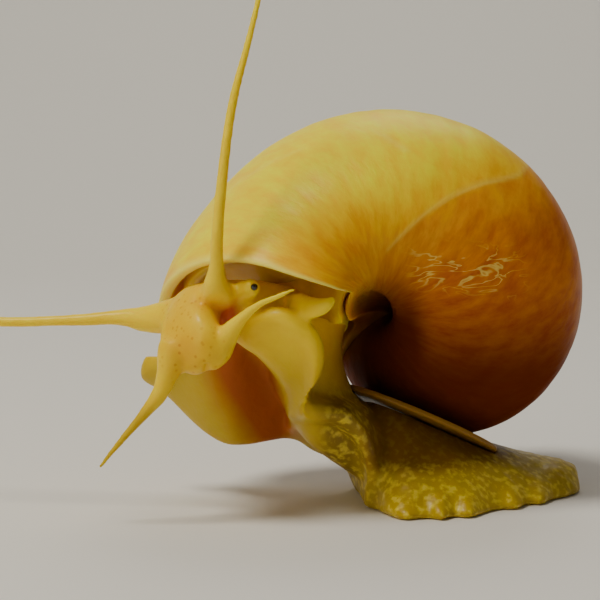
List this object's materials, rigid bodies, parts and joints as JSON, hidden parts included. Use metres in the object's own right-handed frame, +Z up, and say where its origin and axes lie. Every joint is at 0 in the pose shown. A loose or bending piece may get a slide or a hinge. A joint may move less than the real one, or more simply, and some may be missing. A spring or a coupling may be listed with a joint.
{
  "type": "golden apple snail model",
  "caption": "Life-size still model of a crawling apple snail: coiled shell, horny operculum, lifted foot, head with long feelers, eyes on short stalks and a siphon.",
  "frame": {"origin": "on the floor under the flat sole of the foot, below the shell's aperture", "axes": "+X along the animal towards the tip of the tail, +Y to the animal's right side away from the viewer, +Z up"},
  "size_m": [0.0885, 0.0428, 0.0617],
  "materials": {
    "shell": "glossy, golden yellow",
    "operculum": "satin, horny brown",
    "mantle_collar": "moist flesh",
    "foot_tail": "moist flesh",
    "foot_middle": "moist flesh",
    "foot_front": "moist flesh",
    "body_column": "moist flesh",
    "head": "moist flesh",
    "snout": "moist flesh",
    "eye_left": "glossy black",
    "eye_right": "glossy black",
    "eye_stalk_left": "moist flesh",
    "eye_stalk_right": "moist flesh",
    "tentacle_left_base": "moist flesh",
    "tentacle_left_middle": "moist flesh",
    "tentacle_left_tip": "moist flesh",
    "tentacle_right_base": "moist flesh",
    "tentacle_right_middle": "moist flesh",
    "tentacle_right_tip": "moist flesh",
    "palp_left": "moist flesh",
    "palp_right": "moist flesh",
    "siphon": "moist flesh",
    "nuchal_lobe_right": "moist flesh"
  },
  "bodies": {
    "root": {"shell": "shell", "operculum": "operculum", "mantle_collar": "mantle_collar", "foot_tail": "foot_tail", "foot_middle": "foot_middle", "foot_front": "foot_front", "body_column": "body_column", "head": "head", "snout": "snout", "eye_left": "eye_left", "eye_right": "eye_right", "eye_stalk_left": "eye_stalk_left", "eye_stalk_right": "eye_stalk_right", "tentacle_left_base": "tentacle_left_base", "tentacle_left_middle": "tentacle_left_middle", "tentacle_left_tip": "tentacle_left_tip", "tentacle_right_base": "tentacle_right_base", "tentacle_right_middle": "tentacle_right_middle", "tentacle_right_tip": "tentacle_right_tip", "palp_left": "palp_left", "palp_right": "palp_right", "siphon": "siphon", "nuchal_lobe_right": "nuchal_lobe_right"}
  },
  "joints": []
}
